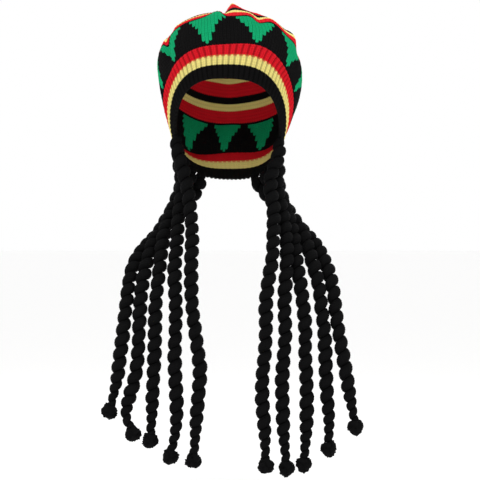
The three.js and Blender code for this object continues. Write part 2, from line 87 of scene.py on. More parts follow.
# Sections of the cap as in the solids: shares of the sizes above, then roll in degrees, shift and sag
# in millimetres, and arch as a share of the depth
LOWER_SECTIONS = [
    # zone, along, wide, deep, back, up, tilt, roll, shift, sag, arch
    ("band", 0.0, 0.0, 0.0, 0.0, 0.0, 0.0, 1.4, -1.6, 0, 0.09),
    ("band", 0.4, 0.235, 0.42, 0.1, 0.121, 0.08, 0.8, -1.6, 4, 0.1),
    ("band", 0.7, 0.4, 0.66, 0.18, 0.225, 0.16, -1.3, -1.7, 6, 0.125),
    ("band", 1.0, 0.63, 0.86, 0.27, 0.313, 0.22, -2.4, -1.9, 10, 0.15),
    ("field", 0.28, 0.87, 1.0, 0.35, 0.43, 0.28, -1.0, -1.0, 6, 0.11),
    ("field", 0.55, 1.0, 1.04, 0.42, 0.52, 0.34, 1.0, 0, 3, 0.07),
    ("field", 1.0, 0.94, 0.93, 0.54, 0.63, 0.42, 1.2, 0, 0, 0.045),
]
UPPER_SECTIONS = [
    # along, wide, deep, back, up, tilt
    (0.14, 0.92, 0.9, 0.65, 0.735, 0.52),
    (0.29, 0.8, 0.775, 0.76, 0.83, 0.62),
    (0.46, 0.635, 0.612, 0.88, 0.915, 0.76),
    (0.63, 0.45, 0.43, 0.955, 0.97, 0.84),
    (0.8, 0.255, 0.242, 0.99, 1.0, 0.92),
    (0.92, 0.115, 0.11, 1.0, 1.0, 1.0),
    (1.0, 0.0, 0.0, 1.0, 0.985, 1.0),
]
UPPER_ROLL_SHIFT_SAG_ARCH = (0.5, 0, 0, 0.045)

# Folds: angle, from and to as shares of the meridian, spread to the left and to the right in degrees,
# height as a share of FOLD_HEIGHT, lean in degrees
FOLDS = [
    (6, 0.48, 1.0, 6, 16, 1.4, -4),
    (-4, 0.4, 0.9, 6, 4, -0.75, -6),
    (-9, 0.28, 0.52, 8, 4, 1.3, 2),
    (15, 0.3, 0.56, 7, 7, 0.4, 0),
    (23, 0.32, 0.62, 5, 5, -0.5, 2),
    (31, 0.3, 0.6, 6, 9, 0.4, 4),
    (-45, 0.5, 0.95, 22, 22, -0.5, 0),
    (-58, 0.2, 0.42, 7, 5, -0.7, 8),
    (-50, 0.4, 0.6, 6, 4, -1.0, -6),
    (52, 0.3, 0.75, 6, 6, 0.55, 16),
    (62, 0.3, 0.7, 7, 7, -0.35, 16),
    (-108, 0.1, 0.54, 22, 22, -1.2, 0),
    (110, 0.15, 0.6, 20, 20, -0.2, 0),
    (158, 0.2, 0.62, 16, 16, 0.5, 10),
    (178, 0.22, 0.7, 9, 9, -0.55, 0),
    (-160, 0.2, 0.62, 16, 16, 0.5, -10),
]

# Places where the rows of the knit are pulled down round the upper edge of the zigzag:
# angle and half width in degrees, depth in millimetres
PULLS = [
    (-54, 4.5, 14),
    (-60, 24, 3.5),
    (23, 5, 3.5),
    (62, 20, 7),
    (-2, 4, 2),
]

# Places where the stripes above the zigzag are drawn closer together, in the same way
TUCKS = [
    (-40, 26, 10),
    (-56, 5, 6),
    (42, 20, 7),
]
# Where the pulls and the tucks start, are full, start to fade and end, from the upper edge of the zigzag
PULL_REACH = (4 - FIELD_HEIGHT, 0, 8, 60)
TUCK_REACH = (0, 22, 30, 100)

# Routes of the locks in millimetres, repeated from the solids: the angle in degrees where each leaves
# the rim, then its points
LOCK_ROUTES = {
    "left_1": (-148, [
        (-45, 57, -78), (-56, 54, -97), (-78, 45, -121), (-97, 29, -140), (-112, 10, -156),
        (-123, -9, -171), (-131, -24, -188), (-135, -36, -207), (-137.5, -45, -229), (-140, -52, -252),
        (-142.5, -57, -279), (-146, -60, -306), (-149, -61, -331), (-153.5, -60, -352), (-158, -58, -370)]),
    "left_2": (-136, [
        (-57, 45, -70), (-71, 37, -95), (-85, 24, -119), (-97, 7, -140), (-105.5, -11, -158),
        (-110.5, -26, -177), (-115, -39, -198), (-118, -48, -220), (-119.5, -54, -244), (-120.5, -59, -271),
        (-121.5, -61, -298), (-124, -62, -324),
        (-129.5, -62, -348), (-136, -63, -370), (-137.5, -64, -386), (-132, -65, -400)]),
    "left_3": (-124, [
        (-64, 31, -60), (-69, 23, -81), (-76, 14, -102), (-83.5, 1, -124), (-88.5, -14, -144),
        (-91.5, -28, -164), (-93.5, -41, -187), (-96, -51, -211), (-98.5, -57, -239), (-99, -61, -268),
        (-99.5, -63, -300), (-101, -63, -332), (-102.5, -62, -362), (-103.5, -61, -388), (-105, -60, -409)]),
    "left_4": (-112, [
        (-68, 14, -50), (-65, 6, -72), (-66, -3, -95), (-69, -14, -118), (-70, -27, -140),
        (-71, -40, -162), (-73, -50, -186), (-72.5, -58, -212), (-71, -63, -240), (-71.5, -66, -272),
        (-72.5, -67, -304), (-71.5, -67, -336), (-70, -66, -366), (-71, -65, -402), (-76.5, -64, -430)]),
    "left_5": (-100, [
        (-68, -3, -38), (-61.5, -10, -60), (-56.5, -17, -82), (-53, -25, -104), (-50.5, -36, -128),
        (-49.5, -47, -150), (-50.5, -56, -176), (-50.5, -62, -204), (-49.5, -66, -234), (-46, -69, -264),
        (-42, -70, -294), (-38.5, -70, -324), (-40.5, -69, -354), (-43.5, -68, -390), (-46.6, -67, -435)]),
    "right_1": (100, [
        (67, -3, -38), (58, -10, -60), (56.5, -17, -82), (60, -25, -104), (60.5, -36, -128),
        (59.5, -47, -150), (58, -56, -176), (53, -62, -204), (49.5, -66, -234), (49.5, -69, -264),
        (48, -70, -300), (44.8, -70, -332), (44.5, -69, -364), (47.5, -68, -402), (49, -67, -442)]),
    "right_2": (112, [
        (68, 14, -50), (66, 6, -72), (69, -3, -95), (74, -14, -120), (77, -28, -142),
        (78, -41, -164), (77.5, -51, -187), (75.5, -58, -213), (74.3, -63, -242), (75.5, -66, -274),
        (73, -67, -308), (71, -67, -340), (71.8, -66, -371), (73, -65, -407), (76.4, -64, -446)]),
    "right_3": (124, [
        (65, 31, -60), (70, 23, -80), (76, 14, -102), (83, 1, -124), (88, -14, -144),
        (90.5, -28, -165), (93, -41, -187), (96.5, -51, -212), (100, -57, -240), (102.4, -61, -272),
        (102, -63, -302), (103.5, -63, -332), (104.2, -62, -364), (103.6, -61, -402), (101, -60, -441)]),
    "right_4": (136, [
        (58, 45, -70), (72, 37, -94), (87, 24, -116), (98, 8, -134), (105, -9, -152),
        (111, -24, -172), (116.6, -37, -193), (121.5, -47, -215), (124, -54, -241), (127.5, -58, -269),
        (129, -60, -298), (129.8, -61, -328), (131.3, -61, -358), (134, -60, -388), (133.6, -60, -420)]),
    "right_5": (148, [
        (46, 57, -78), (60, 55, -96), (82, 47, -117), (100, 32, -134), (113.5, 13, -149),
        (123.5, -5, -164), (131, -21, -181), (137, -34, -200), (141.3, -44, -222), (144, -52, -249),
        (148, -57, -277), (153, -60, -305), (157.5, -61, -332), (162.5, -60, -362), (168, -59, -391)]),
}


# Settings

def size_setting(name, description, default, low, high):
    return bpy.props.FloatProperty(
        name=name, description=description, default=default, min=low, max=high, precision=4, unit="LENGTH")


def share_setting(name, description, default, low, high):
    return bpy.props.FloatProperty(
        name=name, description=description, default=default, min=low, max=high, subtype="FACTOR")


def colour_setting(name, default):
    return bpy.props.FloatVectorProperty(
        name=name, description="Colour", subtype="COLOR", size=3, default=default, min=0, max=1)


class KnitSettings(bpy.types.PropertyGroup):
    """Sizes and colours of the knitted cap"""

    stitch_relief: size_setting("Stitch relief", "Height of a stitch above its valley", 0.0014, 0, 0.003)
    stitch_slant: share_setting("Stitch slant", "How far a leg of a stitch climbs, in rows", 0.36, 0, 1.2)
    rib_depth: size_setting("Rib depth", "Depth of the purl grooves between the ribs", 0.0012, 0, 0.005)
    red: colour_setting("Red yarn", (0.78, 0.007, 0.018))
    yellow: colour_setting("Pale yellow yarn", (0.96, 0.83, 0.27))
    green: colour_setting("Green yarn", (0.001, 0.4, 0.155))
    black: colour_setting("Black yarn", (0.0036, 0.0033, 0.0034))


class LockSettings(bpy.types.PropertyGroup):
    """Sizes and colour of the twisted locks"""

    width: size_setting("Width", "Width of a lock over its turns", 0.0197, 0.008, 0.03)
    core: share_setting("Core", "Width at the bottom of the seam, as a share", 0.44, 0.3, 0.9)
    pitch: size_setting("Pitch", "Length of one turn of the roll", 0.0172, 0.01, 0.08)
    knot: size_setting("Knot", "Width of the knot on the end of a lock", 0.0225, 0.01, 0.03)
    colour: colour_setting("Stretch fabric", (0.002, 0.002, 0.0022))


class StudioSettings(bpy.types.PropertyGroup):
    """Camera, light and floor"""

    distance: size_setting("Camera distance", "From the camera to the front of the cap", 2.6, 0.5, 10)
    view_width: size_setting("View width", "Width of the view at the front of the cap", 0.648, 0.1, 5)
    floor_level: size_setting("Floor level", "Height of the floor", -0.5, -5, 5)
    light: share_setting("Light", "Strength of the lamps", 1.0, 0, 5)


# Shape of the cap

def section_row(at, width, depth, back, up, tilt, *rest):
    tilt = RIM_TILT + (APEX_TILT - RIM_TILT) * tilt
    return at, width / 2, depth / 2, CROWN_SETBACK * back, CROWN_RISE * up, tilt, *rest


def section_rows():
    rows = []
    for zone, along, wide, deep, *rest in LOWER_SECTIONS:
        at = BAND_HEIGHT * along if zone == "band" else BAND_HEIGHT + FIELD_HEIGHT * along
        width = RIM_WIDTH + (CROWN_WIDTH - RIM_WIDTH) * wide
        depth = RIM_DEPTH + (CROWN_DEPTH - RIM_DEPTH) * deep
        rows.append(section_row(at, width, depth, *rest))
    for along, wide, deep, *rest in UPPER_SECTIONS:
        at = FIELD_TOP + CROWN_TOP_LENGTH * along
        rest += UPPER_ROLL_SHIFT_SAG_ARCH
        rows.append(section_row(at, CROWN_WIDTH * wide, CROWN_DEPTH * deep, *rest))
    return np.array(rows, float)


SECTIONS = section_rows()


def section_values(height):
    """Half width, half depth, setback, rise, tilt, roll, shift, sag and arch at heights along the knit."""
    at = SECTIONS[:, 0]
    last = len(at) - 1
    low = np.clip(np.searchsorted(at, height, side="left") - 1, 0, last - 1)
    before = np.maximum(np.arange(last + 1) - 1, 0)
    after = np.minimum(np.arange(last + 1) + 1, last)
    slopes = (SECTIONS[after] - SECTIONS[before]) / (at[after] - at[before])[:, None]
    span = at[low + 1] - at[low]
    t = np.clip((height - at[low]) / span, 0, 1)
    rise = 3 * t**2 - 2 * t**3
    leave = t * (1 - t) ** 2 * span
    arrive = t**2 * (t - 1) * span
    values = SECTIONS[low] * (1 - rise)[..., None] + SECTIONS[low + 1] * rise[..., None]
    values = values + leave[..., None] * slopes[low] + arrive[..., None] * slopes[low + 1]
    return [values[..., i] for i in range(1, SECTIONS.shape[1])]


def smooth_point(angle, height):
    """Points of the smooth cap, angle in degrees from the front towards +X."""
    turn = np.radians(angle)
    half_width, half_depth, back, up, tilt, roll, shift, sag, arch = section_values(height)
    corner = np.sin(2 * turn) ** 2
    across = half_width * np.sin(turn) * (1 + CORNER_FULLNESS * corner)
    along = -half_depth * np.cos(turn) * (1 + arch * corner)
    tilt, roll = np.radians(tilt), np.radians(roll)
    return np.stack([
        shift + across * np.cos(roll),
        back + along * np.cos(tilt),
        up - along * np.sin(tilt) - across * np.sin(roll) - sag * np.sin(turn) ** 2], axis=-1)


# Millimetres from the apex within which the normals no longer change
APEX_MARGIN = 3


def smooth_normal(angle, height):
    """Outward directions of the smooth cap, measured over two degrees and two millimetres."""
    lower = np.maximum(np.minimum(height, MERIDIAN - APEX_MARGIN) - 1, 0)
    round_way = smooth_point(angle + 1, lower + 1) - smooth_point(angle - 1, lower + 1)
    upward = smooth_point(angle, lower + 2) - smooth_point(angle, lower)
    normal = np.cross(round_way, upward)
    return normal / np.linalg.norm(normal, axis=-1, keepdims=True)


def smoothstep(x, low, high):
    t = np.clip((x - low) / (high - low), 0, 1)
    return t * t * (3 - 2 * t)


def fold_height(angle, height):
    """How far the slack knit stands out, from its folds and gathered pleats."""
    share = height / MERIDIAN
    out = np.zeros_like(share)
    for at, start, stop, left, right, tall, lean in FOLDS:
        t = np.clip((share - start) / (stop - start), 0, 1)
        off = (angle - at - lean * t + 180) % 360 - 180
        off = off / np.where(off < 0, left, right)
        out += tall * FOLD_HEIGHT * np.sin(np.pi * t) ** 2 * np.exp(-off * off)
    gather = smoothstep(share, *PLEAT_STARTS) * (1 - smoothstep(share, *PLEAT_ENDS))
    wave = np.cos(np.radians(PLEAT_COUNT * angle + PLEAT_SWAY * np.sin(np.radians(angle))))
    return out + PLEAT_DEPTH * gather * wave


def cap_point(angle, height, out):
    """Points of the real cap, out millimetres above its outer face."""
    stand = fold_height(angle, height) + out
    return smooth_point(angle, height) + smooth_normal(angle, height) * stand[..., None]


# Objects and meshes

def put_in_scene(name, data, place=(0, 0, 0), rotation=(0, 0, 0)):
    item = bpy.data.objects.new(name, data)
    item.location = place
    item.rotation_euler = rotation
    bpy.context.scene.collection.objects.link(item)
    return item


def new_mesh(name, points, quads, attributes=None):
    """A smooth mesh from points in metres and four-sided faces, with named values on its points."""
    quads = np.asarray(quads, np.int32)
    used, faces = np.unique(quads, return_inverse=True)
    faces = faces.reshape(quads.shape)
    mesh = bpy.data.meshes.new(name)
    mesh.vertices.add(len(used))
    mesh.vertices.foreach_set("co", points[used].astype(np.float32).ravel())
    mesh.loops.add(faces.size)
    mesh.loops.foreach_set("vertex_index", faces.astype(np.int32).ravel())
    mesh.polygons.add(len(faces))
    mesh.polygons.foreach_set("loop_start", np.arange(0, faces.size, 4, dtype=np.int32))
    mesh.update(calc_edges=True)
    mesh.polygons.foreach_set("use_smooth", np.ones(len(faces), bool))
    for key, values in (attributes or {}).items():
        kind, field = ("FLOAT_VECTOR", "vector") if values.ndim == 2 else ("FLOAT", "value")
        layer = mesh.attributes.new(key, kind, "POINT")
        layer.data.foreach_set(field, values[used].astype(np.float32).ravel())
    mesh.validate()
    return put_in_scene(name, mesh)


def place_piece(obj, material, nodes):
    """Gives a piece its material and its body, and hides the solids that it stands for."""
    obj.data.materials.append(material)
    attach(obj, BODY)
    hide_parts(*nodes)
    return obj


# The knitted sheet

# Bands of the three zones of the knit: name, lower height, upper height, rows
LOWER_BANDS = [
    ("hem_black", 0, HEM_HEIGHT, 6),
    ("band_yellow", HEM_HEIGHT, 33, 4),
    ("band_red", 33, BAND_HEIGHT, 5),
    ("field", BAND_HEIGHT, FIELD_TOP, 16),
    ("stripe_red", FIELD_TOP, 110, 4),
    ("stripe_yellow", 110, 118, 2),
    ("crown_black_1", 118, 126, 2),
    ("crown_red_1", 126, 142, 4),
    ("crown_yellow_1", 142, 150, 2),
]
MIDDLE_BANDS = [
    ("crown_black_2", 150, 158, 2),
    ("crown_red_2", 158, 174, 4),
    ("crown_yellow_2", 174, 182, 2),
]
APEX_BANDS = [
    ("crown_black_3", 182, 190, 2),
    ("crown_red_3", 190, 204, 4),
    ("crown_yellow_3", 204, 213.4, 3),
]

# Relief across one wale and up one row: place, height
LEG_PLACES = np.array([0.0, 0.14, 0.35, 0.5, 0.65, 0.86])
LEG_HEIGHTS = np.array([0.0, 0.72, 1.0, 0.5, 1.0, 0.72])
ROW_PLACES = np.array([0.0, 0.24, 0.7])
ROW_HEIGHTS = np.array([0.2, 0.92, 1.0])

# Seeds of the unevenness of each zone
LOWER_SEED, MIDDLE_SEED, APEX_SEED = 11, 12, 13
# Stitches: spread and limits of their height, and its share at the foot of a row
STITCH_SPREAD, STITCH_LIMITS, STITCH_FOOT = 0.07, (0.8, 1.2), 0.35
# Half width of the cap where stitches are at full height, and the least share above
FULL_HALF_WIDTH, LEAST_STITCH = 100, 0.25
# Rows over which the slant of the stitches fades at the edges of a zone
SLANT_FADE = 0.8
# Ribs: where they end, how close their wales lie, rounding, sinking, extra wall
RIB_END = (BAND_HEIGHT - 3, BAND_HEIGHT + 5)
RIB_CLOSENESS, RIB_ROUNDING, RIB_SINKING, RIB_WALL = 0.66, 0.5, 0.1, 1.2
# Grooves: shares of their depth that a purl bump fills and the flank sinks, then extra painted shade in the
# groove and on its flank
PURL_BUMP, FLANK_DEPTH = 0.28, 0.3
GROOVE_SHADE, FLANK_SHADE = 0.4, 0.42
# Inside: depth of the purl rows, thinnest wall and its share of the half width
PURL_DEPTH, THIN_WALL, THIN_WALL_SHARE = 0.7, 0.6, 0.25
# Millimetres that the knit stays below the apex
APEX_CLEARANCE = 0.6


def row_count(bands):
    return sum(rows for _, _, _, rows in bands)


def row_levels(bands):
    """Heights and row numbers of every line of points up a zone."""
    levels, numbers, row = [], [], 0
    for _, low, high, rows in bands:
        for r in range(rows):
            for place in ROW_PLACES:
                levels.append(low + (high - low) * (r + place) / rows)
                numbers.append(row + place)
            row += 1
    levels.append(bands[-1][2])
    numbers.append(row)
    return np.array(levels, float), np.array(numbers, float)


def drifted(even, height):
    """Angle on the cap of an evenly spaced wale: the knit is stretched in front and slack at the sides."""
    rise = np.clip((height - TRIANGLE_TIP) / TRIANGLE_HEIGHT, 0, 1)
    turn = np.radians(even)
    tip, base = (
        drift[0] + drift[1] * np.sin(turn) + drift[2] * np.sin(2 * turn) + drift[3] * np.sin(3 * turn)
        for drift in (TIP_DRIFT, BASE_DRIFT))
    kept = HEM_DRIFT + (1 - HEM_DRIFT) * np.clip((height - HEM_HEIGHT) / (TRIANGLE_TIP - HEM_HEIGHT), 0, 1)
    return even + kept * (tip + (base - tip) * rise)


def sagging(angle, height, places, reach):
    """Millimetres that the rows lie lower round some places."""
    start, full, fading, end = (FIELD_TOP + at for at in reach)
    depth = sum(
        deep * np.exp(-(((angle - at + 180) % 360 - 180) / half) ** 2) for at, half, deep in places)
    return depth * smoothstep(height, start, full) * (1 - smoothstep(height, fading, end))


def pulled(angle, height):
    """Height on the cap of a row: the rows sag where the slack knit is tucked."""
    return height - sagging(angle, height, PULLS, PULL_REACH) - sagging(angle, height, TUCKS, TUCK_REACH)


def wander(turn, level):
    """Degrees that the wales stray to the side in a slow and a quick wave, none at the hem."""
    slow = 0.35 * np.sin(3 * turn + level / 15)
    quick = 0.22 * np.sin(7 * turn - level / 9 + 1.3)
    return (slow + quick) * smoothstep(level, 4, 30)


def row_wave(turn):
    """Millimetres that the rows rise and fall round the cap."""
    return 0.35 * np.sin(5 * turn + 0.7)


def swell(turn, level):
    """Millimetres that the slack knit stands out in soft lumps, none in the band."""
    lumps = np.sin(4 * turn + level / 13) * np.sin(level / 21 + 2 * turn)
    return 0.5 * lumps * smoothstep(level, BAND_HEIGHT, BAND_HEIGHT + 20)


class KnitZone:
    """One zone of the knit as a grid of outer and inner points."""

    def __init__(self, knit, bands, wales, first_row, seed):
        self.bands = bands
        self.wales = wales
        self.rows = row_count(bands)
        self.columns = wales * ACROSS
        levels, numbers = row_levels(bands)
        self.lines = len(levels)
        merge = WALES / wales
        column = np.arange(self.columns)
        wale, level = np.meshgrid(column // ACROSS + LEG_PLACES[column % ACROSS], levels)
        leg, lift = np.meshgrid(
            np.tile(LEG_HEIGHTS, wales), np.append(np.tile(ROW_HEIGHTS, self.rows), ROW_HEIGHTS[0]))
        row = np.repeat(numbers[:, None], self.columns, axis=1)

        # The two wales of a rib draw together beside the purl groove
        rib = 1 - smoothstep(level, *RIB_END) if merge == 1 else np.zeros_like(level)
        pair = np.mod(wale, 2) / 2
        groove = pair < 1e-6
        flank = np.isclose(pair, LEG_PLACES[1] / 2) | np.isclose(pair, 1 - LEG_PLACES[1] / 2)
        drawn = np.where(groove, 0, (0.5 + (pair - 0.5) * RIB_CLOSENESS) - pair) * rib * 2

        # Stitch legs slant up from the middle of the wale to both sides
        side = np.abs(2 * (np.mod(wale, 1) - 0.5))
        fade = smoothstep(np.minimum(numbers, self.rows - numbers), 0, SLANT_FADE)[:, None]
        row_height = np.median(np.diff(levels)) * UPWARD
        slant = knit.stitch_slant * row_height * (side - 0.5) * fade

        # Small unevenness of the hand of the knit, the same every run
        loose = np.random.default_rng(seed)
        own = np.clip(loose.normal(1, STITCH_SPREAD, (self.rows + 1, wales)), *STITCH_LIMITS)
        own = own[np.minimum(numbers.astype(int), self.rows)][:, column // ACROSS]
        even = (wale + drawn - 0.5 / merge) * 360 / wales
        turn = np.radians(even)
        height = np.clip(level + slant + row_wave(turn) * fade, 0, MERIDIAN - APEX_CLEARANCE)
        angle = drifted(even + wander(turn, level), height)

        relief = knit.stitch_relief / MM
        half_width = section_values(level)[0]
        shrink = np.clip(half_width / FULL_HALF_WIDTH * merge, LEAST_STITCH, 1)
        stitch = leg * (STITCH_FOOT + (1 - STITCH_FOOT) * lift) * own
        on_bump = lift > ROW_HEIGHTS[1]
        sunk = np.where(groove, 1 - PURL_BUMP * on_bump, np.where(flank, FLANK_DEPTH, 0))
        out = relief * (stitch - 0.5) * shrink
        out += rib * (RIB_ROUNDING * np.sin(np.pi * pair) - RIB_SINKING)
        out -= rib * knit.rib_depth / MM * sunk
        out += swell(turn, level)
        height = pulled(angle, height)
        outer = cap_point(angle, height, out)

        # The inside shows the purl side, rows of small bumps
        purl = np.sin(np.pi * np.mod(row, 1)) * (0.75 + 0.25 * np.cos(2 * np.pi * (wale - 0.5)))
        wall = KNIT_WALL + rib * RIB_WALL - PURL_DEPTH * relief * purl * shrink
        wall = np.minimum(wall, THIN_WALL + half_width * THIN_WALL_SHARE)
        inner = cap_point(angle, height, -wall)

        self.points = np.concatenate([outer.reshape(-1, 3), inner.reshape(-1, 3)]) * MM
        place = np.stack([(wale * merge).ravel(), (row + first_row).ravel(), np.zeros(wale.size)], axis=1)
        self.knit = np.tile(place, (2, 1))
        # Relief that the material turns into painted shade: low between stitches, lower in the purl grooves
        # and on their flanks, and inside low between the purl bumps
        valley = stitch - rib * np.where(groove, GROOVE_SHADE, np.where(flank, FLANK_SHADE, 0))
        self.relief = np.concatenate([valley.ravel(), (0.35 + 0.5 * purl).ravel()])

    def cells(self, band):
        """The stitches of one band, as a table of rows and wales."""
        chosen = np.zeros((self.rows, self.wales), bool)
        row = 0
        for name, _, _, rows in self.bands:
            if name == band:
                chosen[row:row + rows] = True
            row += rows
        return chosen

    def piece(self, name, chosen, edge_tint=None):
        """A closed piece of knit from chosen stitches: outer and inner face and the edges between."""
        mask = np.repeat(np.repeat(chosen, UPWARD, axis=0), ACROSS, axis=1)
        lines, columns = self.lines, self.columns
        index = np.arange(lines * columns).reshape(lines, columns)
        right = np.roll(index, -1, axis=1)
        inner = lines * columns
        low_left, low_right = index[:-1][mask], right[:-1][mask]
        high_left, high_right = index[1:][mask], right[1:][mask]
        faces = [
            np.stack([low_left, low_right, high_right, high_left], axis=1),
            inner + np.stack([low_left, high_left, high_right, low_right], axis=1),
        ]
        below = np.vstack([np.zeros((1, columns), bool), mask])
        above = np.vstack([mask, np.zeros((1, columns), bool)])
        before = np.roll(mask, 1, axis=1)
        walls = [
            (index, right, above & ~below), (right, index, below & ~above),
            (index[1:], index[:-1], mask & ~before), (index[:-1], index[1:], before & ~mask)]
        for starts, ends, edge in walls:
            a, b = starts[edge], ends[edge]
            faces.append(np.stack([a, a + inner, b + inner, b], axis=1))
        quads = np.concatenate(faces)
        tint = edge_tint(self.knit[:inner]) if edge_tint else np.zeros(inner)
        values = {"knit": self.knit, "relief": self.relief, "tint": np.tile(tint, 2)}
        return new_mesh(name, self.points, quads, values)


# Finishes of yarn and fabric

# Scales of the noise, cells a metre
YARN_MOTTLES, YARN_FUZZ, YARN_FIBRES = 38, 900, 2600
FABRIC_MOTTLES, FABRIC_NAP = 60, 1400
# Lines of ply up a row and across half a wale, and how far painted shade between the plies changes the
# colour
PLIES_UP, PLIES_ACROSS = 4.0, 9.0
PLY_SHADE = 0.12
# Relief of the knit where the painted valley shade is full, and where there is none
VALLEY, RIDGE = -0.6, 0.75
# Waves in the jersey: round a lock, and along it in radians a metre
COURSES, RUNS = 26.0, 4600.0
GREY = (0.5, 0.5, 0.5, 1)
# Pale greys of the painted sheen: of fuzz on the yarn, of lint on the fabric
YARN_FUZZ_SHEEN = (0.8, 0.8, 0.8, 1.0)
FABRIC_LINT_SHEEN = (0.6, 0.6, 0.62, 1.0)

# Bump and plain values of every yarn and fabric
BUMP = {"Strength": 0.5, "Distance": 0.0004}
FIBRE = {"IOR": 1.3, "Specular IOR Level": 0.2, "Sheen Roughness": 0.45}
# Values of each finish: painted shade in the valleys or seams, mottling, and a painted sheen of fuzz or lint
BLACK_YARN = {"Valley shade": 0.75, "Mottling": 0.35, "Fuzz sheen": 0.002}
BRIGHT_YARN = {"Valley shade": 0.68, "Mottling": 0.16, "Fuzz sheen": 0.012}
LOCK_FABRIC = {"Seam shade": 0.8, "Lint sheen": 0.003}
# Sheens: weight and tint. That of a bright yarn is its colour, made lighter
BLACK_SHEEN = (0.004, (0.6, 0.6, 0.6, 1))
FABRIC_SHEEN = (0.008, (0.55, 0.55, 0.6, 1))
BRIGHT_SHEEN_WEIGHT, BRIGHT_SHEEN_LIFT = 0.02, 0.35


def feed(tree, socket, value):
    """Gives a socket a plain value or a link."""
    if isinstance(value, (int, float, tuple)):
        socket.default_value = value
    else:
        tree.links.new(value, socket)


def maths(tree, operation, *values):
    node = tree.nodes.new("ShaderNodeMath")
    node.operation = operation
    for socket, value in zip(node.inputs, values):
        feed(tree, socket, value)
    return node.outputs[0]


def mixed(tree, factor, first, second, blend="MIX"):
    node = tree.nodes.new("ShaderNodeMix")
    node.data_type = "RGBA"
    node.blend_type = blend
    for key, value in (("Factor", factor), ("A", first), ("B", second)):
        feed(tree, node.inputs[key], value)
    return node.outputs["Result"]


def named_value(tree, name, output):
    node = tree.nodes.new("ShaderNodeAttribute")
    node.attribute_name = name
    return node.outputs[output]


def noise(tree, scale, detail, vector, rough=0.55):
    node = tree.nodes.new("ShaderNodeTexNoise")
    node.inputs["Scale"].default_value = scale
    node.inputs["Detail"].default_value = detail
    node.inputs["Roughness"].default_value = rough
    tree.links.new(vector, node.inputs["Vector"])
    return node.outputs["Fac"]


def darkened(tree, colour, level):
    """A colour times a level."""
    grey = tree.nodes.new("ShaderNodeCombineColor")
    for socket in grey.inputs:
        tree.links.new(level, socket)
    return mixed(tree, 1.0, colour, grey.outputs[0], "MULTIPLY")


def new_group(name, inputs, vector):
    """A node group, its input and result sockets, the place, the relief and the parts of a vector."""
    group = bpy.data.node_groups.new(name, "ShaderNodeTree")
    for label, default in inputs.items():
        kind = "NodeSocketColor" if isinstance(default, tuple) else "NodeSocketFloat"
        socket = group.interface.new_socket(label, in_out="INPUT", socket_type=kind)
        socket.default_value = default
    for label, kind in (("Colour", "Color"), ("Height", "Float"), ("Roughness", "Float")):
        group.interface.new_socket(label, in_out="OUTPUT", socket_type="NodeSocket" + kind)
    given = group.nodes.new("NodeGroupInput").outputs
    result = group.nodes.new("NodeGroupOutput").inputs
    place = group.nodes.new("ShaderNodeTexCoord").outputs["Object"]
    parts = group.nodes.new("ShaderNodeSeparateXYZ")
    group.links.new(named_value(group, vector, "Vector"), parts.inputs[0])
    return group, given, result, place, named_value(group, "relief", "Fac"), parts.outputs


def sums(tree):
    """Short calls for the three commonest sums in one tree."""
    return (partial(maths, tree, operation) for operation in ("ADD", "SUBTRACT", "MULTIPLY"))


def yarn_group():
    """Colour and height of knitted yarn: plies and fuzz, soft mottling, painted shade in the valleys and
    between the plies, and a painted pale sheen of fuzz on the crests.
    """
    group, given, result, place, relief, knit = new_group("Knitted yarn", {
        "Yarn": GREY, "Neighbour yarn": GREY, "Valley shade": 0.5, "Mottling": 0.2, "Fuzz sheen": 0.1}, "knit")
    plus, minus, times = sums(group)
    broad = noise(group, YARN_MOTTLES, 3, place)
    fine = noise(group, YARN_FUZZ, 4, place, 0.65)
    fibre = noise(group, YARN_FIBRES, 2, place, 0.7)

    wale = maths(group, "FRACT", knit["X"])
    off = maths(group, "ABSOLUTE", minus(wale, 0.5))
    strand = plus(times(knit["Y"], PLIES_UP), times(off, PLIES_ACROSS))
    ply = maths(group, "SINE", times(plus(strand, fine), math.tau))
    ply = maths(group, "MULTIPLY_ADD", ply, 0.5, 0.5)

    # Painted shade: the colour is darkened where the relief is low, between the stitches, in the grooves and
    # between the plies
    shade = group.nodes.new("ShaderNodeMapRange")
    shade.inputs["From Min"].default_value = VALLEY
    shade.inputs["From Max"].default_value = RIDGE
    group.links.new(relief, shade.inputs["Value"])
    deep = minus(1.0, shade.outputs[0])
    tint = named_value(group, "tint", "Fac")
    colour = mixed(group, tint, given["Yarn"], given["Neighbour yarn"])
    dark = minus(1.0, times(deep, given["Valley shade"]))
    mottle = times(minus(plus(broad, fine), 1.0), given["Mottling"])
    level = plus(plus(dark, mottle), times(minus(ply, 0.5), PLY_SHADE))
    # Painted sheen: a pale grey over the fuzz on the crests
    painted_sheen = times(times(fibre, shade.outputs[0]), given["Fuzz sheen"])
    with_sheen = mixed(group, painted_sheen, darkened(group, colour, level), YARN_FUZZ_SHEEN)
    group.links.new(with_sheen, result["Colour"])

    height = plus(plus(times(ply, 0.55), times(fibre, 0.5)), times(fine, 0.5))
    group.links.new(height, result["Height"])
    group.links.new(maths(group, "MULTIPLY_ADD", fine, 0.12, 0.82), result["Roughness"])
    return group


